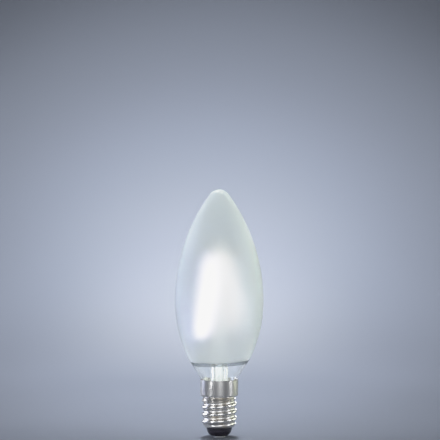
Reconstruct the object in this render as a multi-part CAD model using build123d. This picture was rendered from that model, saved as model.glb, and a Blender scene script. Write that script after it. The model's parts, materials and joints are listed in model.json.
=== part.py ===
from build123d import *
import math
import os

os.makedirs("parts", exist_ok=True)

# Driving dimensions of the lamp in mm, with the contact face at height zero and the glass upwards
overall_length = 98.0
bulb_diameter = 35.0
nose_radius = 4.7
glass_wall = 0.7
widest_share = 0.413

# Neck of the glass
neck_diameter = 13.5
neck_blend_radius = 4.5
cement_gap = 0.5
neck_spread_share = 0.75

# Screw cap of sheet metal with a rolled thread
cap_height = 23.0
collar_height = 6.0
shell_sheet = 0.25
thread_major_diameter = 13.89
thread_minor_diameter = 12.29
thread_pitch = 2.822
thread_land = 0.02
thread_sink = 0.3
flank_dip_share = 0.33
thread_fade = 0.4
fade_slope = 1.2
thread_turn = 40.0
shell_corner_radius = 1.0
lip_height = 4.2
lip_opening_diameter = 9.4
lead_slot = 0.6
cement_depth = 0.8

# Insulator and centre contact
contact_head_diameter = 4.8
contact_head_height = 0.9
contact_edge_radius = 0.4
contact_shank_diameter = 2.2
insulator_face_diameter = 7.0
insulator_top_diameter = 10.0
insulator_bulge = 0.35
fill_clearance = 0.2
boss_diameter = 10.0
boss_height = 0.9

# Glass stem
stem_tube_diameter = 7.0
stem_wall = 0.8
press_start_share = 0.065
press_full_share = 0.107
press_top_share = 0.18
press_width = 9.0
press_thickness = 2.8
exhaust_tube_diameter = 3.0
exhaust_bore_diameter = 1.8
exhaust_tip_radius = 1.35
exhaust_hole_diameter = 1.0
arbor_diameter = 1.8
bead_diameter = 2.6

# Filaments, leaning together at the top like an upturned V
coating_length = 33.6
coating_diameter = 1.9
coating_end_radius = 0.5
strip_width = 1.1
strip_thickness = 0.4
tab_grip = 1.0
tab_reach = 2.2
tab_width = 1.0
tab_thickness = 0.25
filament_middle_share = 0.449
filament_foot_reach = 8.4
filament_head_reach = 3.0
filament_plane_turn = 39.0

# Wires
lead_wire_diameter = 0.5
lead_wire_spread = 2.1
lead_wire_rise = 0.9
link_wire_diameter = 0.4
wire_bend_radius = 0.6

# Driver in the cap
board_thickness = 0.8
board_width = 10.0
board_height = 5.4825
board_clearance = 0.7
board_offset = 1.9
bridge_width = 3.8
bridge_depth = 1.3
bridge_share = 0.72
chip_width = 3.9
chip_depth = 1.4
chip_share = 0.8
capacitor_width = 2.5
capacitor_depth = 1.6
resistor_width = 2.0
resistor_depth = 0.6
low_part_share = 0.56
front_spread = 2.4
back_spread = 3.3
lead_foot_share = 0.66
fuse_body_diameter = 2.1
fuse_edge_radius = 0.4
fuse_lead_diameter = 0.5
fuse_grip = 1.6
shell_lead_diameter = 0.4
shell_lead_edge = 0.5
shell_lead_bend_radius = 0.3
weld_gap = 0.02

# Heights and radii that follow from them
bulb_radius = bulb_diameter / 2
neck_radius = neck_diameter / 2
glass_height = overall_length - cap_height
widest_height = cap_height + widest_share * glass_height
neck_spread = neck_spread_share * cement_gap
neck_top = cap_height - math.sqrt(2 * neck_blend_radius * neck_spread - neck_spread ** 2)
crest_radius = thread_major_diameter / 2
root_radius = thread_minor_diameter / 2
thread_depth = crest_radius - root_radius
knuckle_radius = (thread_depth ** 2 + thread_pitch ** 2 / 4) / (4 * thread_depth)
land_radius = root_radius + thread_land
collar_radius = neck_radius + cement_gap + shell_sheet
shoulder_radius = (collar_radius - land_radius) / 2
shoulder_base = cap_height - collar_height - 2 * shoulder_radius
neck_foot = shoulder_base + shoulder_radius + shell_sheet + lead_slot
thread_low = lip_height + shell_corner_radius
fill_top = thread_low - fill_clearance
plug_top = fill_top + boss_height
board_low = plug_top + board_clearance
board_high = board_low + board_height
exhaust_tip = board_high + board_clearance
nose_height = overall_length - nose_radius - widest_height
side_radius = (bulb_radius ** 2 + nose_height ** 2 - nose_radius ** 2) / (2 * (bulb_radius - nose_radius))
neck_inset = neck_radius + neck_blend_radius - bulb_radius
belly_drop = widest_height - neck_top
belly_radius = (neck_inset ** 2 + belly_drop ** 2 - neck_blend_radius ** 2) / (2 * (neck_blend_radius - neck_inset))


def around(centre, radius, angle):
    """Point at an angle round a centre."""
    return (centre[0] + radius * math.cos(angle), centre[1] + radius * math.sin(angle))


def swing(centre, radius, start, end):
    """Arc round a centre from one angle to another."""
    return ThreePointArc(
        around(centre, radius, start),
        around(centre, radius, (start + end) / 2),
        around(centre, radius, end),
    )


def glass_form(inset):
    """The blown shape filled solid, drawn in by an inset."""
    nose_centre = (0, overall_length - nose_radius)
    side_centre = (bulb_radius - side_radius, widest_height)
    belly_centre = (bulb_radius - belly_radius, widest_height)
    blend_centre = (neck_radius + neck_blend_radius, neck_top)
    nose_turn = math.atan2(nose_height, side_radius - bulb_radius)
    belly_turn = math.atan2(-belly_drop, blend_centre[0] - belly_centre[0])
    nose_end = nose_radius - inset
    foot = (neck_radius - inset, neck_foot)
    with BuildPart() as form:
        with BuildSketch(Plane.XZ):
            with BuildLine():
                swing(nose_centre, nose_end, math.pi / 2, nose_turn)
                swing(side_centre, side_radius - inset, nose_turn, 0)
                swing(belly_centre, belly_radius - inset, 0, belly_turn)
                swing(blend_centre, neck_blend_radius + inset, belly_turn + math.pi, math.pi)
                top = (0, nose_centre[1] + nose_end)
                Polyline((neck_radius - inset, neck_top), foot, (0, neck_foot), top)
            make_face()
        revolve(axis=Axis.Z)
    return form.part


def cap_blank(inset):
    """The sheet shell before its thread is rolled, filled solid and drawn in by an inset."""
    corner = shell_corner_radius
    corner_centre = (land_radius - corner, lip_height + corner)
    lower_centre = (land_radius + shoulder_radius, shoulder_base)
    upper_centre = (collar_radius - shoulder_radius, shoulder_base + 2 * shoulder_radius)
    base = lip_height + inset
    rim = (collar_radius - inset, cap_height)
    with BuildPart() as form:
        with BuildSketch(Plane.XZ):
            with BuildLine():
                swing(corner_centre, corner - inset, -math.pi / 2, 0)
                Line((land_radius - inset, corner_centre[1]), (land_radius - inset, shoulder_base))
                swing(lower_centre, shoulder_radius + inset, math.pi, math.pi / 2)
                swing(upper_centre, shoulder_radius - inset, -math.pi / 2, 0)
                Polyline((rim[0], upper_centre[1]), rim, (0, cap_height), (0, base), (corner_centre[0], base))
            make_face()
        revolve(axis=Axis.Z)
    return form.part


def rolled_crest(inset):
    """The rounded crest wound up the shell, drawn in by an inset and fading out at both ends."""
    crest_centre = (crest_radius - knuckle_radius, 0)
    root_centre = (root_radius + knuckle_radius, thread_pitch / 2)
    root_below = (root_centre[0], -root_centre[1])
    lean = math.atan2(root_centre[1], root_centre[0] - crest_centre[0])
    root = knuckle_radius + inset
    foot_turn = flank_dip_share * math.acos((root_centre[0] - land_radius + inset) / root)
    foot = around(root_centre, root, foot_turn - math.pi)
    sunk = land_radius - inset - thread_sink
    start = thread_low - thread_pitch
    height = shoulder_base + thread_pitch - start
    path = Helix(thread_pitch, height, land_radius, center=(0, 0, start))
    with BuildSketch(Plane(origin=(0, 0, start), x_dir=(1, 0, 0), z_dir=(0, -1, 0))) as section:
        with BuildLine():
            swing(crest_centre, knuckle_radius - inset, -lean, lean)
            swing(root_centre, root, lean - math.pi, foot_turn - math.pi)
            Polyline(foot, (sunk, foot[1]), (sunk, -foot[1]), (foot[0], -foot[1]))
            swing(root_below, root, math.pi - foot_turn, math.pi - lean)
        make_face()
    wound = Rot(0, 0, thread_turn) * sweep(section.sketch, path=path, is_frenet=True)
    fade_in = land_radius - inset - thread_fade / 2
    fade_out = fade_in + thread_pitch / 2
    fade_rise = fade_slope * thread_pitch / 2
    fade_low = thread_low - thread_fade
    fade_high = shoulder_base + thread_fade
    with BuildPart() as space:
        with BuildSketch(Plane.XZ):
            Polygon(
                (0, fade_low),
                (fade_in, fade_low),
                (fade_out, fade_low + fade_rise),
                (fade_out, fade_high - fade_rise),
                (fade_in, fade_high),
                (0, fade_high),
                align=None,
            )
        revolve(axis=Axis.Z)
    return wound & space.part


def cap_form(inset):
    """The threaded shell filled solid, drawn in by an inset."""
    return cap_blank(inset) + rolled_crest(inset)


def column(diameter, low, high):
    """Upright cylinder on the axis between two heights."""
    return Pos(0, 0, (low + high) / 2) * Cylinder(diameter / 2, high - low)


def wire(points, diameter, bend_radius):
    """Round wire bent along a row of points."""
    path = FilletPolyline(*points, radius=bend_radius)
    start = Vector(*points[0])
    heading = Vector(*points[1]) - start
    section = Plane(origin=start, z_dir=heading) * Circle(diameter / 2)
    return sweep(section, path=path)


# Glass envelope, blown in one piece
envelope_outside = glass_form(0)
envelope = envelope_outside - glass_form(glass_wall)

# Screw cap, insulator and contact
shell = cap_form(0) - cap_form(shell_sheet) - column(lip_opening_diameter, 0, plug_top)
contact = column(contact_head_diameter, 0, contact_head_height)
contact = fillet(contact.edges().group_by(Axis.Z)[0], contact_edge_radius)
contact = contact + column(contact_shank_diameter, contact_head_height, plug_top)
insulator_low = contact_head_height
bulge_middle = (
    (insulator_face_diameter + insulator_top_diameter) / 4 + insulator_bulge,
    (insulator_low + lip_height) / 2 - insulator_bulge,
)
with BuildPart() as insulator_builder:
    with BuildSketch(Plane.XZ):
        with BuildLine():
            cone_foot = (insulator_face_diameter / 2, insulator_low)
            cone_head = (insulator_top_diameter / 2, lip_height)
            ThreePointArc(cone_foot, bulge_middle, cone_head)
            Polyline(cone_head, (0, lip_height), (0, insulator_low), cone_foot)
        make_face()
    revolve(axis=Axis.Z)
plug = cap_blank(shell_sheet) & column(2 * bulb_diameter, lip_height, fill_top)
opening_plug = column(lip_opening_diameter, lip_height, lip_height + shell_sheet)
boss = column(boss_diameter, fill_top, plug_top)
insulator = insulator_builder.part + opening_plug + plug + boss - contact

# Stem of clear glass: flare, tube, press, exhaust tube and arbor in one
tube_radius = stem_tube_diameter / 2
flare_rim = neck_radius - glass_wall
flare_radius = flare_rim - tube_radius
flare_centre = (flare_rim, neck_foot + flare_radius + stem_wall)
press_start = cap_height + press_start_share * glass_height
press_full = cap_height + press_full_share * glass_height
press_top = cap_height + press_top_share * glass_height
with BuildPart() as flare_builder:
    with BuildSketch(Plane.XZ):
        with BuildLine():
            swing(flare_centre, flare_radius, 1.5 * math.pi, math.pi)
            Polyline(
                (tube_radius, flare_centre[1]),
                (tube_radius, press_start),
                (tube_radius - stem_wall, press_start),
                (tube_radius - stem_wall, flare_centre[1]),
            )
            swing(flare_centre, flare_radius + stem_wall, math.pi, 1.5 * math.pi)
            Line((flare_rim, neck_foot), (flare_rim, neck_foot + stem_wall))
        make_face()
    revolve(axis=Axis.Z)
press_section = SlotOverall(press_width, press_thickness)
squeeze = loft([Pos(0, 0, press_start) * Circle(tube_radius), Pos(0, 0, press_full) * press_section])
press = extrude(Pos(0, 0, press_full) * press_section, press_top - press_full)
exhaust = column(exhaust_tube_diameter, exhaust_tip, press_full)
exhaust = fillet(exhaust.edges().group_by(Axis.Z)[0], exhaust_tip_radius)
bore_low = exhaust_tip + (exhaust_tube_diameter - exhaust_bore_diameter) / 2
bore = column(exhaust_bore_diameter, bore_low, press_full)
bore_mouth = Pos(0, -press_thickness, press_full) * Rot(90, 0, 0) * Cylinder(
    exhaust_hole_diameter / 2, 2 * press_thickness
)

# Filament axis in its own plane, foot to head
filament_middle = cap_height + filament_middle_share * glass_height
filament_lean = math.asin((filament_foot_reach - filament_head_reach) / coating_length)
middle_reach = (filament_foot_reach + filament_head_reach) / 2
strip_length = coating_length - 2 * tab_grip
tab_length = tab_grip + tab_reach
weld_place = (coating_length + tab_reach) / 2
weld_shift = weld_place * math.sin(filament_lean)
weld_rise = weld_place * math.cos(filament_lean)
foot_weld = (middle_reach + weld_shift, filament_middle - weld_rise)
head_weld = (middle_reach - weld_shift, filament_middle + weld_rise)


def filament_frame(side):
    """Place of a filament: middle on its axis, length along the local upright."""
    return Pos(side * middle_reach, 0, filament_middle) * Rot(0, -side * math.degrees(filament_lean), 0)


def filament(side):
    """Strip, two end tabs and the coating that is moulded round them."""
    frame = filament_frame(side)
    tab_middle = (strip_length + tab_length) / 2
    strip = frame * Box(strip_thickness, strip_width, strip_length)
    low_tab = frame * Pos(0, 0, -tab_middle) * Box(tab_thickness, tab_width, tab_length)
    high_tab = frame * Pos(0, 0, tab_middle) * Box(tab_thickness, tab_width, tab_length)
    coating = Cylinder(coating_diameter / 2, coating_length)
    ends = coating.edges().filter_by(GeomType.CIRCLE)
    coating = frame * fillet(ends, coating_end_radius)
    coating = coating - strip - low_tab - high_tab
    return strip, low_tab, high_tab, coating


strip_a, low_tab_a, high_tab_a, coating_a = filament(-1)
strip_b, low_tab_b, high_tab_b, coating_b = filament(1)

# Wires that carry the filaments
board_back = -board_offset + board_thickness / 2
board_front = -board_offset - board_thickness / 2
lead_face = board_back + lead_wire_diameter / 2
lead_turn = neck_foot - board_offset


def lead_in_wire(side):
    """Wire from the board through the press to a filament's foot."""
    x = side * lead_wire_spread
    points = [
        (x, lead_face, board_low + lead_foot_share * board_height),
        (x, lead_face, board_high),
        (x, 0, lead_turn),
        (x, 0, press_top + lead_wire_rise),
        (side * foot_weld[0], 0, foot_weld[1]),
    ]
    return wire(points, lead_wire_diameter, wire_bend_radius)


lead_a = lead_in_wire(-1) - low_tab_a
lead_b = lead_in_wire(1) - low_tab_b
link = Pos(0, 0, head_weld[1]) * Rot(0, 90, 0) * Cylinder(link_wire_diameter / 2, 2 * head_weld[0])
link = link - high_tab_a - high_tab_b
arbor = column(arbor_diameter, press_top, head_weld[1]) + Pos(0, 0, head_weld[1]) * Sphere(bead_diameter / 2)
stem = flare_builder.part + squeeze + press + exhaust + arbor
stem = stem - bore - bore_mouth - lead_a - lead_b - link

# Driver board and its parts
board_middle = (board_high + board_low) / 2
fuse_low = board_low + board_clearance
fuse_turn = board_high - board_clearance
board = Pos(0, -board_offset, board_middle) * Box(board_width, board_thickness, board_height)
bridge = Box(bridge_width, bridge_depth, bridge_share * board_height)
bridge = Pos(-front_spread, board_front - bridge_depth / 2, board_middle) * bridge
chip = Box(chip_width, chip_depth, chip_share * board_height)
chip = Pos(front_spread, board_front - chip_depth / 2, board_middle) * chip
low_part_height = low_part_share * board_height
low_part = board_low + low_part_height / 2
capacitor = Box(capacitor_width, capacitor_depth, low_part_height)
capacitor = Pos(back_spread, board_back + capacitor_depth / 2, low_part) * capacitor
resistor = Box(resistor_width, resistor_depth, low_part_height)
resistor = Pos(-back_spread, board_back + resistor_depth / 2, low_part) * resistor
fuse_points = [
    (0, 0, plug_top - fuse_grip),
    (0, 0, fuse_turn),
    (0, board_front - board_thickness / 2, fuse_turn),
]
fuse_lead = wire(fuse_points, fuse_lead_diameter, wire_bend_radius)
fuse_body = column(fuse_body_diameter, fuse_low, fuse_turn - wire_bend_radius)
fuse_body = fillet(fuse_body.edges().filter_by(GeomType.CIRCLE), fuse_edge_radius)
fuse = fuse_body + fuse_lead
board = board - fuse
contact = contact - fuse

# Lead to the shell, up through the slot under the neck and along the collar's inner wall
shell_lead_reach = collar_radius - shell_sheet - shell_lead_diameter / 2 - weld_gap
shell_lead_face = board_back + shell_lead_diameter / 2
slot_height = neck_foot - lead_slot / 2
shell_lead_foot = board_width / 2 - shell_lead_edge
reach_share = math.sqrt(shell_lead_reach ** 2 - shell_lead_face ** 2)
shell_lead_points = [
    (shell_lead_foot, shell_lead_face, board_low + lead_foot_share * board_height),
    (shell_lead_foot, shell_lead_face, slot_height),
    (reach_share, shell_lead_face, slot_height),
    (reach_share, shell_lead_face, cap_height - collar_height / 2),
]
shell_lead = wire(shell_lead_points, shell_lead_diameter, shell_lead_bend_radius)
cement_top = cap_height - cement_depth
cement = column(2 * (collar_radius - shell_sheet), neck_foot, cement_top) - envelope_outside - shell_lead
cement = cement - column(neck_diameter, neck_foot, cement_top)

# Everything that hangs on the stem turns with the plane of the filaments
turned = {
    "glass_stem": stem,
    "lead_in_wire_a": lead_a,
    "lead_in_wire_b": lead_b,
    "top_link_wire": link,
    "filament_strip_a": strip_a,
    "filament_strip_b": strip_b,
    "filament_low_tab_a": low_tab_a,
    "filament_low_tab_b": low_tab_b,
    "filament_high_tab_a": high_tab_a,
    "filament_high_tab_b": high_tab_b,
    "filament_coating_a": coating_a,
    "filament_coating_b": coating_b,
    "driver_board": board,
    "rectifier_bridge": bridge,
    "driver_chip": chip,
    "storage_capacitor": capacitor,
    "sense_resistor": resistor,
    "fuse_resistor": fuse,
    "shell_lead_wire": shell_lead,
    "capping_cement": cement,
}
straight = {
    "glass_envelope": envelope,
    "cap_shell": shell,
    "cap_insulator": insulator,
    "centre_contact": contact,
}
for name, solid in straight.items():
    export_step(solid, f"parts/{name}.step")
for name, solid in turned.items():
    export_step(Rot(0, 0, filament_plane_turn) * solid, f"parts/{name}.step")
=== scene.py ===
import json
import math

import bpy
from bpy.props import FloatProperty, FloatVectorProperty, IntProperty, PointerProperty
from bpy.types import Operator, Panel, PropertyGroup
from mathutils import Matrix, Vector

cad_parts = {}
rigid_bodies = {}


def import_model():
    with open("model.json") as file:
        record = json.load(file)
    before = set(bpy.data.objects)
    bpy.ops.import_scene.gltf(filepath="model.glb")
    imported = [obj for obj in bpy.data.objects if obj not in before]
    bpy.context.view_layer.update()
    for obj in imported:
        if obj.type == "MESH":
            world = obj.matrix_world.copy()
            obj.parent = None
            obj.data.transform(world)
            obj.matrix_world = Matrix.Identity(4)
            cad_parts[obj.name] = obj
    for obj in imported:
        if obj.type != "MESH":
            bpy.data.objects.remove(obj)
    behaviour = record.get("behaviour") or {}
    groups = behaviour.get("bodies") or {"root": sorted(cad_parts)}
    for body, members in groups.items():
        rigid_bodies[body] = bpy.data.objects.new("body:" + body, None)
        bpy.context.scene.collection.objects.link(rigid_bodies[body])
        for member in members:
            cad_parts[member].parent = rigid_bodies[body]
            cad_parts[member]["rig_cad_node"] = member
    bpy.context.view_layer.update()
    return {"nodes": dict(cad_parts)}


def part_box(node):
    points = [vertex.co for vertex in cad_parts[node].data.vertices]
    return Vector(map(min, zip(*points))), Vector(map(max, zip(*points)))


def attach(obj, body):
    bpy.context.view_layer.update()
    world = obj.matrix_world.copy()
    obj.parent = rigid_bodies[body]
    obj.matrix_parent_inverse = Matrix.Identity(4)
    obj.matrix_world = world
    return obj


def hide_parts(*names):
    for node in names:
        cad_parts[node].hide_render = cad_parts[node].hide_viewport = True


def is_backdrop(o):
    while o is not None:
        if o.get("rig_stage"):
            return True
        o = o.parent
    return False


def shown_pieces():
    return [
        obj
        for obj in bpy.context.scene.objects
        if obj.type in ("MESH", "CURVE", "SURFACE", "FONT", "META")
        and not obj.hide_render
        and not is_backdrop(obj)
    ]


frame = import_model()

bl_info = {
    "name": "Candle Bulb",
    "version": (1, 0, 0),
    "blender": (4, 5, 0),
    "location": "View3D > Sidebar > Candle Bulb",
    "description": "Models a lit candle bulb of frosted glass with two filaments and a screw cap",
    "category": "Object",
}

MM = 0.001
glass_low, glass_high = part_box("glass_envelope")
cap_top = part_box("cap_shell")[1].z


# Sizes, colours and stage values that a user may change


class CandleBulbSizes(PropertyGroup):
    """Sizes of the pieces that are modelled here"""

    nose_radius: FloatProperty(
        name="Nose Radius",
        description="Radius of the round tip of the glass",
        default=4.7 * MM,
        unit="LENGTH",
    )
    glass_wall: FloatProperty(
        name="Glass Wall",
        description="Thickness of the blown glass",
        default=0.7 * MM,
        unit="LENGTH",
    )
    widest_height: FloatProperty(
        name="Widest Height",
        description="Height of the glass's widest ring above the contact face",
        default=53.975 * MM,
        unit="LENGTH",
    )
    neck_diameter: FloatProperty(
        name="Neck Diameter",
        description="Outer diameter of the straight neck",
        default=13.5 * MM,
        unit="LENGTH",
    )
    neck_blend_radius: FloatProperty(
        name="Neck Blend Radius",
        description="Radius of the hollow curve from the neck to the belly",
        default=4.5 * MM,
        unit="LENGTH",
    )
    neck_top: FloatProperty(
        name="Neck Top",
        description="Height at which the straight neck ends",
        default=21.201 * MM,
        unit="LENGTH",
    )
    frost_height: FloatProperty(
        name="Frosting Height",
        description="Height at which the frosting ends, with clear glass below",
        default=29.0 * MM,
        unit="LENGTH",
    )
    frost_tilt: FloatProperty(
        name="Frosting Tilt",
        description="Rise of the frosting's lower edge towards +X, per length",
        default=0.038,
    )
    spin_steps: IntProperty(
        name="Spin Steps",
        description="Steps round the axis of the spun glass",
        default=144,
        min=24,
    )
    filament_middle: FloatProperty(
        name="Filament Middle",
        description="Height of the middle of the filaments",
        default=56.675 * MM,
        unit="LENGTH",
    )
    filament_reach: FloatProperty(
        name="Filament Reach",
        description="Distance from the bulb's axis to a filament's middle",
        default=5.7 * MM,
        unit="LENGTH",
    )
    filament_slope: FloatProperty(
        name="Filament Slope",
        description="How far a filament leans in to the axis, per rise",
        default=0.1628,
    )
    lit_foot: FloatProperty(
        name="Lit Foot",
        description="Height of the first light chip",
        default=40.0 * MM,
        unit="LENGTH",
    )
    lit_top: FloatProperty(
        name="Lit Top",
        description="Height of the last light chip",
        default=72.5 * MM,
        unit="LENGTH",
    )
    # Places of the painted light patches on the frosting
    spill_place: FloatVectorProperty(
        name="Spill Place",
        description="Place on the glass nearest to the second filament's foot",
        default=(12.5 * MM, 12.0 * MM, 43.5 * MM),
        unit="LENGTH",
    )
    wash_place: FloatVectorProperty(
        name="Wash Place",
        description="Place on the glass beside the first filament, where its light falls wide",
        default=(-9.5 * MM, 10.5 * MM, 65.0 * MM),
        unit="LENGTH",
    )
    chip_pitch: FloatProperty(
        name="Chip Pitch",
        description="Distance between the light chips under the coating",
        default=1.2 * MM,
        unit="LENGTH",
    )


class CandleBulbColours(PropertyGroup):
    """Colours of the finishes"""

    glass: FloatVectorProperty(
        name="Glass",
        description="Tint of the frosted glass",
        subtype="COLOR",
        default=(0.93, 0.967, 0.966),
    )
    stem: FloatVectorProperty(
        name="Stem Glass",
        description="Tint of the clear stem",
        subtype="COLOR",
        default=(0.95, 0.985, 0.97),
    )
    light_out: FloatVectorProperty(
        name="Light Outwards",
        description="Light from the chip side of the first filament",
        subtype="COLOR",
        default=(1.02, 0.93, 1.28),
    )
    light_out_b: FloatVectorProperty(
        name="Light Outwards B",
        description="Light from the chip side of the second filament, which is a little greener",
        subtype="COLOR",
        default=(1.02, 1.02, 1.18),
    )
    light_in: FloatVectorProperty(
        name="Light Inwards",
        description="Light from the strip side of a filament",
        subtype="COLOR",
        default=(0.255, 0.20, 0.165),
    )
    # Colours of the painted light patches on the frosting
    spill: FloatVectorProperty(
        name="Spill",
        description="Light of a filament in the frosting nearest to its foot",
        subtype="COLOR",
        default=(0.85, 0.87, 1.6),
    )
    wash: FloatVectorProperty(
        name="Wash",
        description="Light of a filament in the frosting beside it",
        subtype="COLOR",
        default=(0.26, 0.28, 0.25),
    )
    phosphor: FloatVectorProperty(
        name="Phosphor",
        description="Coating of the filaments when it is not lit",
        subtype="COLOR",
        default=(0.93, 0.72, 0.20),
    )
    plating: FloatVectorProperty(
        name="Plating",
        description="Nickel plating of the cap",
        subtype="COLOR",
        default=(0.72, 0.69, 0.64),
    )
    brass: FloatVectorProperty(
        name="Brass",
        description="Brass that shows where the plating is thin",
        subtype="COLOR",
        default=(0.66, 0.52, 0.30),
    )
    wire: FloatVectorProperty(
        name="Wire",
        description="Nickel of the wires",
        subtype="COLOR",
        default=(0.66, 0.65, 0.63),
    )
    solder: FloatVectorProperty(
        name="Solder",
        description="Tin of the centre contact",
        subtype="COLOR",
        default=(0.74, 0.74, 0.73),
    )
    black_glass: FloatVectorProperty(
        name="Black Glass",
        description="Pressed glass of the insulator",
        subtype="COLOR",
        default=(0.012, 0.010, 0.014),
    )
    cement: FloatVectorProperty(
        name="Cement",
        description="Cement between the neck and the collar",
        subtype="COLOR",
        default=(0.74, 0.69, 0.58),
    )
    board: FloatVectorProperty(
        name="Board",
        description="Lacquer of the driver board",
        subtype="COLOR",
        default=(0.03, 0.16, 0.07),
    )
    ceramic: FloatVectorProperty(
        name="Ceramic",
        description="White ceramic of the filament strips",
        subtype="COLOR",
        default=(0.86, 0.85, 0.80),
    )
    lacquer: FloatVectorProperty(
        name="Lacquer",
        description="Lacquer of the fuse resistor",
        subtype="COLOR",
        default=(0.20, 0.34, 0.42),
    )
    backdrop: FloatVectorProperty(
        name="Backdrop",
        description="Paper of the floor and the backdrop",
        subtype="COLOR",
        default=(0.608, 0.641, 0.708),
    )


class CandleBulbStage(PropertyGroup):
    """Camera, floor and light"""

    camera_distance: FloatProperty(
        name="Camera Distance",
        description="Distance from the camera to the bulb's axis",
        default=0.56,
        unit="LENGTH",
    )
    camera_height: FloatProperty(
        name="Camera Height",
        description="Height of the level camera",
        default=0.0859,
        unit="LENGTH",
    )
    camera_side: FloatProperty(
        name="Camera Side",
        description="Sideways place of the camera",
        default=0.0003,
        unit="LENGTH",
    )
    sensor_width: FloatProperty(
        name="Sensor Width",
        description="Width of the camera's sensor, in millimetres",
        default=36.0,
        unit="CAMERA",
    )
    lens: FloatProperty(
        name="Lens",
        description="Focal length of the camera, in millimetres",
        default=115.9,
        unit="CAMERA",
    )
    floor_length: FloatProperty(
        name="Floor Length",
        description="Side of the square of paper on the floor",
        default=12.0,
        unit="LENGTH",
    )
    wall_height: FloatProperty(
        name="Wall Height",
        description="Height of the paper on the wall",
        default=1.6,
        unit="LENGTH",
    )
    wall_distance: FloatProperty(
        name="Wall Distance",
        description="Distance from the bulb to the upright part of the backdrop",
        default=0.75,
        unit="LENGTH",
    )
    sweep_radius: FloatProperty(
        name="Sweep Radius",
        description="Radius of the backdrop's sweep from the floor to the wall",
        default=0.55,
        unit="LENGTH",
    )
    sweep_steps: IntProperty(
        name="Sweep Steps",
        description="Steps of the backdrop's sweep",
        default=48,
        min=8,
    )
    glow: FloatProperty(
        name="Glow",
        description="Strength of the light from the filaments",
        default=10.0,
    )
    # Strength of the painted glow on the frosting's outer face, which stands for the light that the
    # frosting scatters
    painted_glow_strength: FloatProperty(
        name="Veil",
        description="Strength of the light that the frosting scatters",
        default=0.10,
    )
    room_light: FloatProperty(
        name="Room Light",
        description="Strength of the even light from all round",
        default=0.147,
    )


# Finishes: one small class for sockets with arithmetic, and one for a material


class Signal:
    """A value on its way to a shader; arithmetic on it adds Math nodes."""

    def __init__(self, finish, socket):
        self.finish = finish
        self.socket = socket

    def maths(self, operation, first, second):
        """A Math node on two values."""
        return self.finish.node("ShaderNodeMath", {"operation": operation}, {0: first, 1: second})

    def __add__(self, other):
        return self.maths("ADD", self, other)

    __radd__ = __add__

    def __sub__(self, other):
        return self.maths("SUBTRACT", self, other)

    def __rsub__(self, other):
        return self.maths("SUBTRACT", other, self)

    def __mul__(self, other):
        return self.maths("MULTIPLY", self, other)

    __rmul__ = __mul__


class Finish:
    """A material under construction: one Principled shader and what feeds it."""

    def __init__(self, name, **constants):
        """Start a material, with constants on the shader's sockets of those names."""
        self.material = bpy.data.materials.new(name)
        self.material.use_nodes = True
        self.tree = self.material.node_tree
        self.shader = self.tree.nodes["Principled BSDF"]
        for socket, value in constants.items():
            self.shader.inputs[socket.replace("_", " ")].default_value = value

    def fill(self, socket, value):
        """Put a number, a colour or a link on an input."""
        if isinstance(value, Signal):
            self.tree.links.new(value.socket, socket)
        elif socket.type == "RGBA":
            socket.default_value = (*value, 1.0)
        else:
            socket.default_value = value

    def node(self, kind, settings=None, sockets=None, output=0):
        """Add a node: its settings first, then its sockets; the named output comes back."""
        made = self.tree.nodes.new(kind)
        for name, value in (settings or {}).items():
            setattr(made, name, value)
        for name, value in (sockets or {}).items():
            self.fill(made.inputs[name], value)
        return Signal(self, made.outputs[output])

    def place(self):
        """The point on the piece."""
        return self.node("ShaderNodeTexCoord", output="Object")

    def split(self, vector):
        """Sideways, depth and height of a point."""
        first = self.node("ShaderNodeSeparateXYZ", sockets={0: vector})
        outputs = first.socket.node.outputs
        return [Signal(self, outputs[name]) for name in ("X", "Y", "Z")]

    def ramp(self, value, low, high):
        """A smooth step from 0 at low to 1 at high."""
        settings = {"interpolation_type": "SMOOTHSTEP"}
        sockets = {"Value": value, "From Min": low, "From Max": high}
        return self.node("ShaderNodeMapRange", settings, sockets)

    def between(self, value, low, high):
        """Low where the value is 0 and high where it is 1."""
        return value * (high - low) + low

    def blend(self, factor, first, second):
        """Mix of two colours."""
        settings = {"data_type": "RGBA", "clamp_factor": True}
        return self.node("ShaderNodeMix", settings, {0: factor, 6: first, 7: second}, output=2)

    def shade(self, colour, value):
        """A colour dimmed by a value."""
        sockets = {0: colour, "Scale": value}
        return self.node("ShaderNodeVectorMath", {"operation": "SCALE"}, sockets)

    def noise(self, vector, grain, detail=3.0, roughness=0.5):
        """Soft noise with a grain of about that length."""
        sockets = {"Vector": vector, "Scale": 1.0 / grain, "Detail": detail, "Roughness": roughness}
        return self.node("ShaderNodeTexNoise", None, sockets)

    def cells(self, vector, grain):
        """Distance to the nearest of many scattered points, a grain apart."""
        return self.node("ShaderNodeTexVoronoi", None, {"Vector": vector, "Scale": 1.0 / grain})

    def stretch(self, vector, scale):
        """The point with each direction scaled."""
        return self.node("ShaderNodeMapping", None, {"Vector": vector, "Scale": scale})

    def off_axis(self, vector):
        """Distance from the bulb's axis."""
        flat = self.node("ShaderNodeVectorMath", {"operation": "MULTIPLY"}, {0: vector, 1: (1, 1, 0)})
        return self.node("ShaderNodeVectorMath", {"operation": "LENGTH"}, {0: flat}, output="Value")

    def distance(self, vector, centre, scale):
        """Distance of the point from a centre, with each direction scaled."""
        here = self.stretch(vector, scale)
        there = tuple(part * size for part, size in zip(centre, scale))
        sockets = {0: here, 1: there}
        return self.node("ShaderNodeVectorMath", {"operation": "DISTANCE"}, sockets, output="Value")

    def plus(self, first, second):
        """Two colours added."""
        return self.node("ShaderNodeVectorMath", {"operation": "ADD"}, {0: first, 1: second})

    def bump(self, height, depth):
        """Relief of a height signal, that deep."""
        self.put("Normal", self.node("ShaderNodeBump", None, {"Height": height, "Distance": depth}))

    def put(self, socket, value):
        """Feed one of the shader's own sockets."""
        self.fill(self.shader.inputs[socket], value)


def tone(colour, share, lift=0.0):
    """A colour with its channels taken by a share, and lifted a little."""
    return tuple(channel * share + lift for channel in colour)


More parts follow.
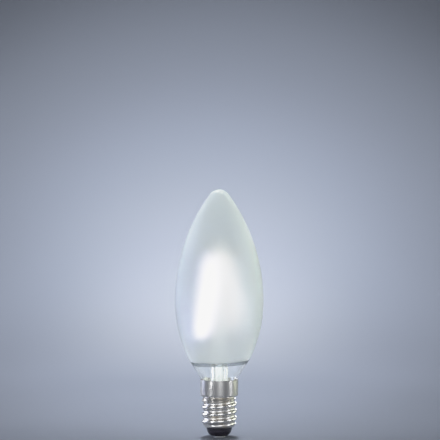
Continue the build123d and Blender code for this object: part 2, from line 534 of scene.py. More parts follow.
def frosted_glass(name, sizes, colours, painted_glow_strength=0.0):
    """Frosted blown glass: fine grain, faint clouds, a darker, clearer band along its lower edge, and a
    painted glow where a strength is given.
    """
    finish = Finish(name, Transmission_Weight=0.85, IOR=1.47, Emission_Strength=painted_glow_strength)
    point = finish.place()
    x, _, z = finish.split(point)
    grain = finish.noise(point, 0.16 * MM, 3.0, 0.6)
    cloud = finish.noise(point, 9.0 * MM, 2.0)
    wander = finish.noise(point, 2.2 * MM, 2.0) - 0.5
    above = z - x * sizes.frost_tilt - wander * 0.8 * MM
    band_top = sizes.frost_height + 1.1 * MM
    full = finish.ramp(above, band_top, band_top + 0.7 * MM)
    rough = 0.60 + (cloud - 0.5) * 0.06 + (grain - 0.5) * 0.10
    finish.put("Roughness", rough * (0.3 + full * 0.7))
    clouded = finish.blend(cloud, tone(colours.glass, 0.97), colours.glass)
    finish.put("Base Color", finish.blend(full, tone(colours.glass, 0.74), clouded))
    finish.bump(grain + cloud * 0.3, 0.012 * MM)
    # Painted glow, which stands for the light that the frosting scatters
    if painted_glow_strength:
        finish.put("Emission Color", painted_scatter_glow(finish, point, full, sizes, colours))
    return finish.material


def painted_scatter_glow(finish, point, full, sizes, colours):
    """Painted glow on the outer face of the frosting, which stands for the light that it scatters, with
    two soft painted light patches for each filament.
    """
    z = finish.split(point)[2]
    # Painted glow, stronger near the foot of the frosting and towards the top, and dimmer in the clearer
    # band at its lower edge
    low = 1 - finish.ramp(z, sizes.frost_height + 1 * MM, sizes.lit_foot + 4.5 * MM)
    high = finish.ramp(z, sizes.lit_top - 6.5 * MM, sizes.lit_top + 9.5 * MM)
    painted_glow_level = (0.45 + low * 1.12 + high * 0.70) * (0.1 + full * 0.9)
    glow = finish.shade(colours.glass, painted_glow_level)
    tall = (1.0, 1.0, 0.35)
    for place, light in ((sizes.spill_place, colours.spill), (sizes.wash_place, colours.wash)):
        for side in (-1, 1):
            centre = (side * place[0], side * place[1], place[2])
            # Soft painted light patches: spill near each filament's foot, wash beside each filament
            painted_patch = 1 - finish.ramp(finish.distance(point, centre, tall), 0.5 * MM, 6.5 * MM)
            glow = finish.plus(glow, finish.shade(light, painted_patch))
    return glow


def bare_glass():
    """Clear blown glass at the neck, below the frosting, with a faint painted glow and painted glints."""
    finish = Finish("bare_glass", Transmission_Weight=1.0, IOR=1.47, Emission_Strength=0.06)
    point = finish.place()
    wave = finish.noise(finish.stretch(point, (1.0, 1.0, 0.4)), 3.0 * MM, 2.0)
    smear = finish.noise(point, 0.8 * MM)
    finish.put("Base Color", finish.blend(wave, (0.975, 0.99, 0.985), (0.96, 0.98, 0.975)))
    finish.put("Roughness", finish.between(smear, 0.008, 0.05))
    # Painted glints: the faint painted glow is brighter along the waves in the glass
    painted_glint = finish.ramp(wave, 0.3, 0.7)
    finish.put("Emission Color", finish.blend(painted_glint, (0.40, 0.45, 0.47), (1.0, 1.0, 1.0)))
    finish.bump(wave, 0.05 * MM)
    return finish.material


def clear_glass(sizes, colours):
    """Drawn tube glass with faint streaks along its length, with painted glints and a painted glow that
    grows stronger and warmer beside the filaments.
    """
    finish = Finish("clear_glass", Transmission_Weight=1.0, IOR=1.52, Emission_Strength=0.12)
    point = finish.place()
    streak = finish.noise(finish.stretch(point, (1.0, 1.0, 0.08)), 0.7 * MM)
    cloud = finish.noise(point, 3.0 * MM, 2.0)
    finish.put("Base Color", finish.blend(cloud, (0.985, 0.995, 0.99), colours.stem))
    finish.put("Roughness", finish.between(streak, 0.006, 0.03))
    # Painted glints and a painted glow on the stem, warmer and up to six times as strong beside the
    # filaments
    painted_glint = finish.blend(finish.ramp(streak, 0.35, 0.65), (0.5, 0.55, 0.55), (1.0, 1.0, 1.0))
    painted_glow_rise = finish.ramp(finish.split(point)[2], sizes.lit_foot - 6 * MM, sizes.lit_foot)
    finish.put("Emission Color", finish.shade(finish.blend(painted_glow_rise, painted_glint, (1.0, 0.94, 0.80)), 1 + painted_glow_rise * 5))
    finish.bump(streak, 0.03 * MM)
    return finish.material


def glowing_coating(sizes, colours, stage):
    """Phosphor in silicone, lit from the row of chips on its outer side."""
    finish = Finish("phosphor_silicone", Roughness=0.42, Emission_Strength=stage.glow)
    point = finish.place()
    x, _, z = finish.split(point)
    reach = sizes.filament_reach - (z - sizes.filament_middle) * sizes.filament_slope
    half_width = 0.75 * MM
    outward = finish.ramp(finish.off_axis(point) - reach, -half_width, half_width)
    turn = z * (2 * math.pi / sizes.chip_pitch)
    wave = finish.node("ShaderNodeMath", {"operation": "SINE"}, {0: turn})
    foot = finish.ramp(z - (1 - outward) * 2.4 * MM, sizes.lit_foot, sizes.lit_foot + 2.5 * MM)
    ends = foot * finish.ramp(z, sizes.lit_top, sizes.lit_top - 3 * MM)
    low = 1 - finish.ramp(z, sizes.lit_foot + 4 * MM, sizes.lit_top - 2.5 * MM)
    fall = 0.75 + low * (0.2 + outward * 0.75)
    chips = (0.86 + wave * 0.14) * (0.04 + ends * 0.96) * fall
    second = finish.ramp(x, -0.5 * MM, 0.5 * MM)
    chip_light = finish.blend(second, colours.light_out, colours.light_out_b)
    finish.put("Emission Color", finish.shade(finish.blend(outward, colours.light_in, chip_light), chips))
    grain = finish.noise(point, 0.25 * MM)
    finish.put("Base Color", finish.blend(grain, tone(colours.phosphor, 0.82), colours.phosphor))
    finish.put("Roughness", finish.between(grain, 0.34, 0.5))
    finish.bump(wave * 0.5 + grain * 0.4, 0.04 * MM)
    return finish.material


def plated_sheet(colours):
    """Nickel-plated brass sheet: painted shade makes the grooves darker than the rolled crests; the
    grooves are also rougher and show more brass.
    """
    finish = Finish("nickel_plated_brass", Metallic=1.0)
    point = finish.place()
    z = finish.split(point)[2]
    groove_radius = 6.25 * MM
    crest_radius = 6.9 * MM
    collar_height = 6.0 * MM
    crest = finish.ramp(finish.off_axis(point), groove_radius, crest_radius)
    lines = finish.noise(finish.stretch(point, (1.0, 1.0, 14.0)), 1.6 * MM, 4.0, 0.6)
    cloud = finish.noise(point, 4.5 * MM)
    speck = finish.noise(point, 0.35 * MM, 2.0)
    stain = finish.ramp(cloud + (speck - 0.5) * 0.35, 0.52, 0.74) * (1 - crest * 0.7)
    # Painted shade: the plating is painted darker in the grooves than on the crests
    plate = finish.blend(crest, tone(colours.plating, 0.9), colours.plating)
    finish.put("Base Color", finish.blend(stain * 0.45, plate, colours.brass))
    collar_foot = cap_top - collar_height
    collar = finish.ramp(z, collar_foot - 0.4 * MM, collar_foot + 0.2 * MM)
    worn = finish.ramp(z, cap_top - 0.6 * MM, cap_top - 0.1 * MM) * finish.ramp(cloud, 0.35, 0.65)
    wear = stain * 0.10 + collar * 0.06 - worn * 0.08
    finish.put("Roughness", 0.32 - crest * 0.07 + (lines - 0.5) * 0.16 + wear)
    finish.bump(lines * (0.6 + collar * 1.8) + speck * 0.4, 0.006 * MM)
    return finish.material


def drawn_wire(colours):
    """Nickel wire with fine drawing marks and a faint tarnish."""
    finish = Finish("nickel_wire", Metallic=1.0)
    point = finish.place()
    marks = finish.noise(finish.stretch(point, (1.0, 1.0, 0.15)), 0.09 * MM)
    tarnish = finish.noise(point, 2.4 * MM)
    dull = finish.ramp(tarnish, 0.35, 0.75)
    finish.put("Base Color", finish.blend(dull, colours.wire, tone(colours.wire, 0.72)))
    finish.put("Roughness", finish.between(marks, 0.20, 0.40))
    finish.bump(marks, 0.004 * MM)
    return finish.material


def steel_tab(colours):
    """Punched strip steel with a brushed face."""
    finish = Finish("steel_tab", Metallic=1.0)
    point = finish.place()
    marks = finish.noise(finish.stretch(point, (6.0, 6.0, 0.5)), 0.4 * MM)
    finish.put("Base Color", finish.blend(marks, colours.wire, tone(colours.wire, 0.8)))
    finish.put("Roughness", finish.between(marks, 0.26, 0.48))
    finish.bump(marks, 0.003 * MM)
    return finish.material


def ceramic_strip(colours):
    """Fired white ceramic with a fine grain."""
    finish = Finish("ceramic_strip")
    point = finish.place()
    grain = finish.noise(point, 0.12 * MM)
    finish.put("Base Color", finish.blend(grain, colours.ceramic, tone(colours.ceramic, 0.92)))
    finish.put("Roughness", finish.between(grain, 0.5, 0.75))
    finish.bump(grain, 0.01 * MM)
    return finish.material


def pressed_black_glass(colours):
    """Black pressed glass with flow marks and a few pits."""
    finish = Finish("black_glass", IOR=1.55)
    point = finish.place()
    flow = finish.noise(finish.stretch(point, (1.0, 1.0, 2.5)), 1.8 * MM, 4.0, 0.6)
    pits = finish.ramp(finish.cells(point, 0.9 * MM), 0.10, 0.22)
    lighter = tone(colours.black_glass, 3.0, 0.006)
    finish.put("Base Color", finish.blend(finish.ramp(flow, 0.4, 0.8), colours.black_glass, lighter))
    finish.put("Roughness", finish.between(flow, 0.08, 0.24) + (1 - pits) * 0.25)
    finish.bump(flow * 0.6 + pits * 0.4, 0.05 * MM)
    return finish.material


def tinned_contact(colours):
    """Contact metal under a skin of solder, scuffed where it meets its spring."""
    finish = Finish("contact_metal", Metallic=1.0)
    point = finish.place()
    mottle = finish.noise(point, 0.9 * MM, 4.0, 0.6)
    scuff = finish.noise(finish.stretch(point, (1.0, 9.0, 1.0)), 1.1 * MM)
    middle = 1 - finish.ramp(finish.off_axis(point), 1.0 * MM, 2.2 * MM)
    worn = finish.ramp(scuff, 0.45, 0.7) * middle
    plate = finish.blend(mottle, colours.solder, tone(colours.solder, 0.74))
    finish.put("Base Color", finish.blend(worn * 0.5, plate, colours.brass))
    finish.put("Roughness", finish.between(mottle, 0.24, 0.46) + worn * 0.1)
    finish.bump(mottle * 0.7 + scuff * 0.3, 0.03 * MM)
    return finish.material


def capping_cement(colours):
    """Hard cement with sand in it."""
    finish = Finish("cement")
    point = finish.place()
    sand = finish.cells(point, 0.35 * MM)
    cloud = finish.noise(point, 1.6 * MM, 4.0)
    mixed = cloud * 0.6 + sand * 0.4
    finish.put("Base Color", finish.blend(mixed, tone(colours.cement, 0.72), colours.cement))
    finish.put("Roughness", finish.between(cloud, 0.78, 0.95))
    finish.bump(sand * 0.6 + cloud * 0.4, 0.08 * MM)
    return finish.material


def lacquered_board(colours):
    """Glass-fibre board under green lacquer, with its weave showing faintly."""
    finish = Finish("circuit_board", Coat_Weight=0.3)
    point = finish.place()
    weave = finish.noise(finish.stretch(point, (5.0, 5.0, 1.0)), 0.5 * MM, 2.0)
    cross = finish.noise(finish.stretch(point, (1.0, 1.0, 5.0)), 0.5 * MM, 2.0)
    cloud = finish.noise(point, 2.0 * MM)
    cloth = weave * 0.5 + cross * 0.3 + cloud * 0.2
    finish.put("Base Color", finish.blend(cloth, colours.board, tone(colours.board, 1.7, 0.02)))
    finish.put("Roughness", finish.between(cloud, 0.28, 0.42))
    finish.bump(weave * 0.5 + cross * 0.5, 0.01 * MM)
    return finish.material


def moulded_black():
    """Black moulding compound with a fine spark-eroded grain."""
    finish = Finish("moulded_black")
    point = finish.place()
    grain = finish.noise(point, 0.09 * MM, 3.0, 0.6)
    cloud = finish.noise(point, 1.4 * MM, 2.0)
    finish.put("Base Color", finish.blend(cloud, (0.014, 0.014, 0.015), (0.035, 0.034, 0.033)))
    finish.put("Roughness", finish.between(grain, 0.46, 0.7))
    finish.bump(grain, 0.015 * MM)
    return finish.material


def capacitor_ceramic(colours):
    """Tan ceramic block with tinned ends."""
    finish = Finish("capacitor_ceramic")
    point = finish.place()
    z = finish.split(point)[2]
    low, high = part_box("storage_capacitor")
    grip = 0.5 * MM
    above_foot = finish.ramp(z, low.z + grip, low.z + 1.1 * grip)
    below_head = 1 - finish.ramp(z, high.z - 1.1 * grip, high.z - grip)
    ends = 1 - above_foot * below_head
    grain = finish.noise(point, 0.2 * MM)
    body = finish.blend(grain, (0.42, 0.27, 0.15), (0.50, 0.34, 0.20))
    finish.put("Base Color", finish.blend(ends, body, colours.solder))
    finish.put("Metallic", ends)
    finish.put("Roughness", finish.between(grain, 0.34, 0.5))
    finish.bump(grain, 0.008 * MM)
    return finish.material


def fuse_lacquer(colours):
    """Lacquered resistor body with plain colour rings, on tinned leads."""
    finish = Finish("fuse_lacquer")
    point = finish.place()
    z = finish.split(point)[2]
    low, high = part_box("fuse_resistor")
    lead_radius = 0.30 * MM
    body = finish.ramp(finish.off_axis(point), lead_radius, 1.2 * lead_radius)
    span = high.z - low.z
    middle = low.z + 0.62 * span
    grain = finish.noise(point, 0.3 * MM)
    paint = finish.blend(grain, colours.lacquer, tone(colours.lacquer, 0.8))
    rings = (
        (-0.11, (0.30, 0.14, 0.05)),
        (0.0, (0.02, 0.02, 0.02)),
        (0.11, (0.62, 0.46, 0.12)),
    )
    for shift, colour in rings:
        near = finish.node("ShaderNodeMath", {"operation": "ABSOLUTE"}, {0: z - (middle + shift * span)})
        ring = 1 - finish.ramp(near, 0.18 * MM, 0.22 * MM)
        paint = finish.blend(ring, paint, colour)
    finish.put("Base Color", finish.blend(body, colours.solder, paint))
    finish.put("Metallic", 1 - body)
    finish.put("Roughness", finish.between(grain, 0.22, 0.36))
    finish.bump(grain, 0.01 * MM)
    return finish.material


def backdrop_paper(colours):
    """Matt paper with a faint tooth."""
    finish = Finish("backdrop_paper")
    point = finish.place()
    tooth = finish.noise(point, 1.5 * MM)
    finish.put("Base Color", finish.blend(tooth, colours.backdrop, tone(colours.backdrop, 0.985)))
    finish.put("Roughness", finish.between(tooth, 0.85, 0.95))
    return finish.material


# Modelling helpers


def start_clean():
    """Leave edit mode and select nothing."""
    if bpy.context.object and bpy.context.object.mode != "OBJECT":
        bpy.ops.object.mode_set(mode="OBJECT")
    bpy.ops.object.select_all(action="DESELECT")


def arc(centre, radius, start, end, steps):
    """Points on an arc, from one angle to another."""
    points = []
    for step in range(steps + 1):
        turn = start + (end - start) * step / steps
        points.append((centre[0] + radius * math.cos(turn), centre[1] + radius * math.sin(turn)))
    return points


def glass_profile(sizes, inset):
    """Half section of the glass from its tip to the neck's foot, drawn in by an inset."""
    wide = glass_high.x
    nose = sizes.nose_radius
    neck = sizes.neck_diameter / 2
    blend = sizes.neck_blend_radius
    level = sizes.widest_height
    # Radii of the two long arcs, which run smoothly into the nose and into the neck's blend
    rise = glass_high.z - nose - level
    side = (wide**2 + rise**2 - nose**2) / (2 * (wide - nose))
    drop = level - sizes.neck_top
    draw = neck + blend - wide
    belly = (draw**2 + drop**2 - blend**2) / (2 * (blend - draw))
    nose_turn = math.atan2(rise, side - wide)
    belly_turn = math.atan2(-drop, draw + belly)
    nose_steps = 14
    flank_steps = 34
    blend_steps = 10
    points = arc((0, glass_high.z - nose), nose - inset, math.pi / 2, nose_turn, nose_steps)
    points += arc((wide - side, level), side - inset, nose_turn, 0, flank_steps)[1:]
    points += arc((wide - belly, level), belly - inset, 0, belly_turn, flank_steps)[1:]
    hollow = (neck + blend, sizes.neck_top)
    points += arc(hollow, blend + inset, belly_turn + math.pi, math.pi, blend_steps)[1:]
    points.append((neck - inset, glass_low.z))
    points[0] = (0.0, points[0][1])
    return points


def spun_piece(name, profile, steps):
    """Spin a row of (radius, height) points round the bulb's axis."""
    seam = 0.001 * MM
    corner = math.radians(40)
    start_clean()
    bpy.ops.mesh.primitive_plane_add(size=1 * MM)
    piece = bpy.context.object
    piece.name = name
    piece.data.name = name
    bpy.ops.object.mode_set(mode="EDIT")
    bpy.ops.mesh.select_all(action="SELECT")
    bpy.ops.mesh.merge(type="CENTER")
    bpy.ops.transform.translate(value=(profile[0][0], 0, profile[0][1]))
    for here, there in zip(profile, profile[1:]):
        step = (there[0] - here[0], 0, there[1] - here[1])
        bpy.ops.mesh.extrude_vertices_move(TRANSFORM_OT_translate={"value": step})
    bpy.ops.mesh.select_all(action="SELECT")
    bpy.ops.mesh.spin(steps=steps, angle=2 * math.pi, center=(0, 0, 0), axis=(0, 0, 1))
    bpy.ops.mesh.select_all(action="SELECT")
    bpy.ops.mesh.remove_doubles(threshold=seam)
    bpy.ops.mesh.normals_make_consistent(inside=False)
    bpy.ops.object.mode_set(mode="OBJECT")
    bpy.ops.object.shade_smooth_by_angle(angle=corner)
    return piece


def cut_along(piece, place, normal):
    """Cut a ring of edges where a plane meets a piece; faces below it take the second finish."""
    start_clean()
    piece.select_set(True)
    bpy.context.view_layer.objects.active = piece
    bpy.ops.object.mode_set(mode="EDIT")
    bpy.ops.mesh.select_all(action="SELECT")
    bpy.ops.mesh.bisect(plane_co=place, plane_no=normal)
    bpy.ops.object.mode_set(mode="OBJECT")
    for face in piece.data.polygons:
        face.material_index = int((face.center - place).dot(normal) < 0)


def line_inside(piece, middle):
    """Give the faces of the first finish that look in to a middle point the third finish."""
    for face in piece.data.polygons:
        if face.material_index == 0 and (face.center - middle).dot(face.normal) < 0:
            face.material_index = 2


def smooth_copy(node, name):
    """Copy of a CAD node, merged and shaded smooth up to its corners."""
    seam = 0.0005 * MM
    corner = math.radians(32)
    start_clean()
    mesh = frame["nodes"][node].data.copy()
    mesh.name = name
    mesh.materials.clear()
    piece = bpy.data.objects.new(name, mesh)
    bpy.context.scene.collection.objects.link(piece)
    piece.select_set(True)
    bpy.context.view_layer.objects.active = piece
    bpy.ops.object.mode_set(mode="EDIT")
    bpy.ops.mesh.select_all(action="SELECT")
    bpy.ops.mesh.remove_doubles(threshold=seam)
    bpy.ops.object.mode_set(mode="OBJECT")
    if mesh.has_custom_normals:
        bpy.ops.mesh.customdata_custom_splitnormals_clear()
    bpy.ops.object.shade_smooth_by_angle(angle=corner)
    return piece


def select_edges(piece, fits):
    """Go to edit mode with just the edges selected whose ends both fit."""
    bpy.ops.object.mode_set(mode="EDIT")
    bpy.ops.mesh.select_mode(type="EDGE")
    bpy.ops.mesh.select_all(action="DESELECT")
    bpy.ops.object.mode_set(mode="OBJECT")
    for edge in piece.data.edges:
        edge.select = all(fits(piece.data.vertices[end].co) for end in edge.vertices)
    bpy.ops.object.mode_set(mode="EDIT")


def gather(name, items):
    """A collection of objects, for lamps to light or to be shaded by."""
    group = bpy.data.collections.new(name)
    for item in items:
        group.objects.link(item)
    return group


def dress(piece, material, slot, *nodes):
    """Give a piece its finish, hang it on the root body unless it is a CAD node, and hide the CAD nodes
    it stands for. The slot is not used.
    """
    piece.data.materials.clear()
    piece.data.materials.append(material)
    if "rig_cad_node" not in piece:
        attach(piece, "root")
    if nodes:
        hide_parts(*nodes)


# Pieces, one operator for each group of them


class CANDLE_BULB_OT_glass_envelope(Operator):
    """Spin the blown glass from its half section, with an even wall"""

    bl_idname = "candle_bulb.glass_envelope"
    bl_label = "Glass Envelope"

    def execute(self, context):
        sizes = context.scene.candle_bulb_sizes
        outside = glass_profile(sizes, 0.0)
        inside = glass_profile(sizes, sizes.glass_wall)
        piece = spun_piece("blown_envelope", outside + inside[::-1], sizes.spin_steps)
        colours = context.scene.candle_bulb_colours
        # Strength of the painted glow on the frosting
        painted_glow_strength = context.scene.candle_bulb_stage.painted_glow_strength
        frosting = frosted_glass("frosted_glass", sizes, colours, painted_glow_strength)
        dress(piece, frosting, "frosted_glass", "glass_envelope")
        piece.data.materials.append(bare_glass())
        piece.data.materials.append(frosted_glass("frosted_inside", sizes, colours))
        upright = Vector((-sizes.frost_tilt, 0, 1)).normalized()
        cut_along(piece, Vector((0, 0, sizes.frost_height)), upright)
        line_inside(piece, Vector((0, 0, sizes.widest_height)))
        return {"FINISHED"}


class CANDLE_BULB_OT_glass_stem(Operator):
    """Finish the flare, tube, press and arbor as one piece of clear glass"""

    bl_idname = "candle_bulb.glass_stem"
    bl_label = "Glass Stem"

    def execute(self, context):
        scene = context.scene
        piece = smooth_copy("glass_stem", "drawn_stem")
        glass = clear_glass(scene.candle_bulb_sizes, scene.candle_bulb_colours)
        dress(piece, glass, "clear_glass", "glass_stem")
        return {"FINISHED"}


class CANDLE_BULB_OT_filaments(Operator):
    """Finish the two filaments: coating, strip and end tabs"""

    bl_idname = "candle_bulb.filaments"
    bl_label = "Filaments"

    def execute(self, context):
        scene = context.scene
        colours = scene.candle_bulb_colours
        coating = glowing_coating(scene.candle_bulb_sizes, colours, scene.candle_bulb_stage)
        strip = ceramic_strip(colours)
        tab = steel_tab(colours)
        for side in "ab":
            piece = smooth_copy(f"filament_coating_{side}", f"coating_{side}")
            dress(piece, coating, "phosphor_silicone", f"filament_coating_{side}")
            dress(frame["nodes"][f"filament_strip_{side}"], strip, "ceramic_strip")
            for end in ("low", "high"):
                dress(frame["nodes"][f"filament_{end}_tab_{side}"], tab, "steel_tab")
        return {"FINISHED"}


class CANDLE_BULB_OT_wires(Operator):
    """Finish the lead-in wires, the link between the heads and the lead to the shell"""

    bl_idname = "candle_bulb.wires"
    bl_label = "Wires"

    def execute(self, context):
        finish = drawn_wire(context.scene.candle_bulb_colours)
        for node in ("lead_in_wire_a", "lead_in_wire_b", "top_link_wire", "shell_lead_wire"):
            dress(smooth_copy(node, f"drawn_{node}"), finish, "nickel_wire", node)
        return {"FINISHED"}


class CANDLE_BULB_OT_screw_cap(Operator):
    """Finish the rolled shell, the insulator, the centre contact and the cement"""

    bl_idname = "candle_bulb.screw_cap"
    bl_label = "Screw Cap"

    def execute(self, context):
        colours = context.scene.candle_bulb_colours
        rows = (
            ("cap_shell", "rolled_shell", plated_sheet(colours), "nickel_plated_brass"),
            ("cap_insulator", "pressed_insulator", pressed_black_glass(colours), "black_glass"),
            ("centre_contact", "tinned_contact", tinned_contact(colours), "contact_metal"),
            ("capping_cement", "cement_ring", capping_cement(colours), "cement"),
        )
        for node, name, finish, slot in rows:
            dress(smooth_copy(node, name), finish, slot, node)
        return {"FINISHED"}


class CANDLE_BULB_OT_driver(Operator):
    """Finish the small driver board and the parts on it"""

    bl_idname = "candle_bulb.driver"
    bl_label = "Driver"

    def execute(self, context):
        colours = context.scene.candle_bulb_colours
        black = moulded_black()
        dress(frame["nodes"]["driver_board"], lacquered_board(colours), "circuit_board")
        for node in ("rectifier_bridge", "driver_chip", "sense_resistor"):
            dress(frame["nodes"][node], black, "moulded_black")
        dress(frame["nodes"]["storage_capacitor"], capacitor_ceramic(colours), "capacitor_ceramic")
        fuse = smooth_copy("fuse_resistor", "lacquered_fuse")
        dress(fuse, fuse_lacquer(colours), "fuse_lacquer", "fuse_resistor")
        return {"FINISHED"}


class CANDLE_BULB_OT_stage(Operator):
    """Lay the floor and backdrop, hang the lights and set the camera"""

    bl_idname = "candle_bulb.stage"
    bl_label = "Stage"

    def execute(self, context):
        scene = context.scene
        stage = scene.candle_bulb_stage
        sweep = self.lay_backdrop(stage, scene.candle_bulb_colours)
        self.hang_lights(scene, stage, sweep)
        self.set_camera(scene, stage)
        self.set_film(scene)
        return {"FINISHED"}

    def lay_backdrop(self, stage, colours):
        """Paper that runs from the floor up the wall in one sweep."""

        def at_wall(end):
            return abs(end.y - stage.wall_distance) < 1 * MM

        start_clean()
        middle = stage.wall_distance - stage.floor_length / 2
        bpy.ops.mesh.primitive_plane_add(size=stage.floor_length, location=(0, middle, 0))
        sweep = bpy.context.object
        sweep.name = "backdrop_sweep"
        bpy.ops.object.transform_apply(location=True)
        select_edges(sweep, at_wall)
        bpy.ops.mesh.extrude_region_move(TRANSFORM_OT_translate={"value": (0, 0, stage.wall_height)})
        select_edges(sweep, lambda end: at_wall(end) and abs(end.z) < 1 * MM)
        bpy.ops.mesh.bevel(offset=stage.sweep_radius, segments=stage.sweep_steps)
        bpy.ops.mesh.select_all(action="SELECT")
        bpy.ops.mesh.normals_make_consistent(inside=False)
        bpy.ops.object.mode_set(mode="OBJECT")
        bpy.ops.object.shade_smooth()
        sweep.data.materials.append(backdrop_paper(colours))
        sweep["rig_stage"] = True
        return sweep

    def add_light(self, name, kind, place, target, energy, colour, size, receivers=None):
        """A lamp that looks at a point, and lights only its receivers where it is given any."""
        light = bpy.data.lights.new(name, kind)
        light.energy = energy
        light.color = colour
        if kind == "AREA":
            light.shape = "DISK"
            light.size = size
        else:
            light.shadow_soft_size = size
        lamp = bpy.data.objects.new(name, light)
        bpy.context.scene.collection.objects.link(lamp)
        lamp.location = place
        lamp.rotation_euler = (Vector(target) - Vector(place)).to_track_quat("-Z", "Y").to_euler()
        if receivers:
            lamp.light_linking.receiver_collection = receivers
        return lamp

    def hang_lights(self, scene, stage, sweep):
        """Dim light from all round, soft boxes on the glass, strips on the cap and pools on the paper."""
        cool = (0.88, 0.92, 1.0)
        scene.world = bpy.data.worlds.new("room")
        scene.world.use_nodes = True
        room = scene.world.node_tree.nodes["Background"]
        room.inputs["Color"].default_value = (*cool, 1.0)
        room.inputs["Strength"].default_value = stage.room_light
        cap = [bpy.data.objects[name] for name in ("rolled_shell", "pressed_insulator", "tinned_contact")]
        pieces = gather("bulb_pieces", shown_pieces())
        metal = gather("cap_pieces", cap)
        paper = gather("backdrop_pieces", [sweep])
        self.hang_softboxes(pieces, cool)
        self.hang_strips(metal, cool)
        self.hang_pools(paper, metal)

    def hang_softboxes(self, pieces, cool):
        """Soft boxes round the glass that light the bulb alone, and a faint key light on everything."""
        glass_middle = (0, 0, 0.06)
        box_size = 0.3
        boxes = (
            ("side_softbox_left", (-0.44, 0.20, 0.12), 1.16, (0.66, 0.73, 1.04)),
            ("side_softbox_right", (0.44, 0.20, 0.09), 0.89, (0.92, 1.0, 0.80)),
            ("crown_softbox", (0, 0.20, 0.50), 1.6, (0.94, 1.0, 0.92)),
        )
        for name, place, energy, colour in boxes:
            self.add_light(name, "AREA", place, glass_middle, energy, colour, box_size, pieces)
        key_place = (-0.55, -0.6, 0.35)
        key_target = (0, 0, 0.05)
        key_energy = 0.5
        key_size = 0.5
        self.add_light("key_softbox", "AREA", key_place, key_target, key_energy, cool, key_size)

    def hang_strips(self, metal, cool):
        """Tall strip boxes and a fill light for the cap alone."""
        cap_middle = (0, 0, 0.012)
        strip_width = 0.05
        strip_length = 0.4
        strips = (
            ("strip_box_left", (-0.30, -0.26, 0.10), 0.9),
            ("strip_box_right", (0.34, -0.10, 0.10), 0.7),
            ("strip_box_back", (0.12, 0.36, 0.12), 0.6),
            ("strip_box_far", (-0.30, 0.24, 0.12), 0.5),
        )
        for name, place, energy in strips:
            strip = self.add_light(name, "AREA", place, cap_middle, energy, cool, strip_width, metal)
            strip.data.shape = "RECTANGLE"
            strip.data.size_y = strip_length
        fill_place = (0.06, -0.5, 0.16)
        fill_energy = 1.1
        fill_size = 0.3
        self.add_light("cap_fill", "AREA", fill_place, cap_middle, fill_energy, cool, fill_size, metal)

    def hang_pools(self, paper, metal):
        """Soft pools of light on the paper, in which the cap has its shadow."""
        front = Vector((0, -0.9, 0.9))
        overhead = Vector((0, 0, 1.2))
        side = -0.007
        lamp_size = 0.05
        wide = (0.86, 0.915, 1.04)
        close = (0.96, 0.915, 0.84)
        # Depth and height of the aim, watts, cone in degrees, colour; pools at height 0 hang overhead
        pools = (
            ("backdrop_pool", 0.48, 0.08, 47, 24.5, wide),
            ("backdrop_heart", 0.48, 0.08, 25, 13, wide),
            ("bulb_halo", 0.34, 0.02, 40, 7, close),
            ("crown_halo", 0.47, 0.07, 18, 7, close),
            ("floor_pool", 0.11, 0, 15, 22, wide),
            ("floor_heart", 0.08, 0, 12, 11, wide),
            ("sweep_pool", 0.31, 0, 8.5, 23, wide),
        )
        for name, depth, height, energy, cone, colour in pools:
            target = Vector((side, depth, height))
            place = front if height else target + overhead
            pool = self.add_light(name, "SPOT", place, target, energy, colour, lamp_size, paper)
            pool.data.spot_size = math.radians(cone)
            pool.data.spot_blend = 1.0
            pool.light_linking.blocker_collection = metal

    def set_film(self, scene):
        """Plain colours with a soft shoulder, so that the glow keeps its shape."""
        view = scene.view_settings
        view.view_transform = "Standard"
        view.use_curve_mapping = True
        mapping = view.curve_mapping
        brightest = 1.6
        brightest_shown = 0.93
        mapping.white_level = (brightest,) * 3
        mapping.extend = "HORIZONTAL"
        # Light in the scene, and the level that it is shown at
        shoulder = ((0.3, 0.3), (0.6, 0.6), (0.8, 0.775), (1.0, 0.87), (1.25, 0.92))
        curve = mapping.curves[3]
        for light, shown in shoulder:
            curve.points.new(light / brightest, shown)
        curve.points[-1].location = (1.0, brightest_shown)
        mapping.update()

    def set_camera(self, scene, stage):
        """A level camera at the place of the photograph's."""
        camera = bpy.data.objects.new("camera", bpy.data.cameras.new("camera"))
        scene.collection.objects.link(camera)
        camera.location = (stage.camera_side, -stage.camera_distance, stage.camera_height)
        camera.rotation_euler = (math.radians(90), 0, 0)
        camera.data.sensor_width = stage.sensor_width
        camera.data.lens = stage.lens
        camera.data.clip_start = 10 * MM
        scene.camera = camera


# Sidebar panel, and what is registered


class VIEW3D_PT_candle_bulb(Panel):
    """Sizes, colours and steps of the candle bulb"""

    bl_label = "Candle Bulb"
    bl_space_type = "VIEW_3D"
    bl_region_type = "UI"
    bl_category = "Candle Bulb"

    def draw(self, context):
        for name, group in groups.items():
            box = self.layout.box()
            box.label(text=group.__doc__)
            for value in group.__annotations__:
                box.prop(getattr(context.scene, name), value)
        column = self.layout.column(align=True)
        for step in steps:
            column.operator(step.bl_idname)


groups = {
    "candle_bulb_sizes": CandleBulbSizes,
    "candle_bulb_colours": CandleBulbColours,
    "candle_bulb_stage": CandleBulbStage,
}
steps = (
    CANDLE_BULB_OT_glass_envelope,
    CANDLE_BULB_OT_glass_stem,
    CANDLE_BULB_OT_filaments,
    CANDLE_BULB_OT_wires,
    CANDLE_BULB_OT_screw_cap,
    CANDLE_BULB_OT_driver,
    CANDLE_BULB_OT_stage,
)
classes = (*groups.values(), *steps, VIEW3D_PT_candle_bulb)


def register():
    """Register the classes and hang the values on the scene."""
    for item in classes:
        bpy.utils.register_class(item)
    for name, group in groups.items():
        setattr(bpy.types.Scene, name, PointerProperty(type=group))


def unregister():
    """Take the values and the classes away again."""
    for name in groups:
        delattr(bpy.types.Scene, name)
    for item in reversed(classes):
        bpy.utils.unregister_class(item)


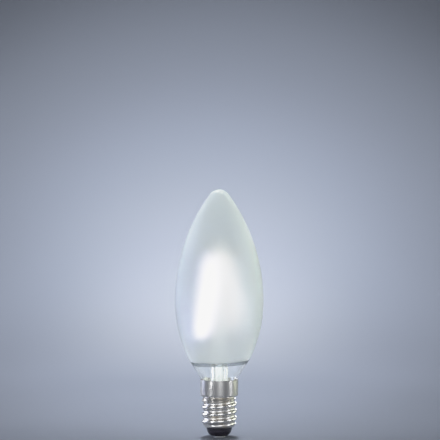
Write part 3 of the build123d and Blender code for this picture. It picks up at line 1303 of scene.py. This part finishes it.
def main():
    """Model every piece in order and set the stage."""
    register()
    bpy.ops.candle_bulb.glass_envelope()
    bpy.ops.candle_bulb.glass_stem()
    bpy.ops.candle_bulb.filaments()
    bpy.ops.candle_bulb.wires()
    bpy.ops.candle_bulb.screw_cap()
    bpy.ops.candle_bulb.driver()
    bpy.ops.candle_bulb.stage()


if __name__ == "__main__":
    main()
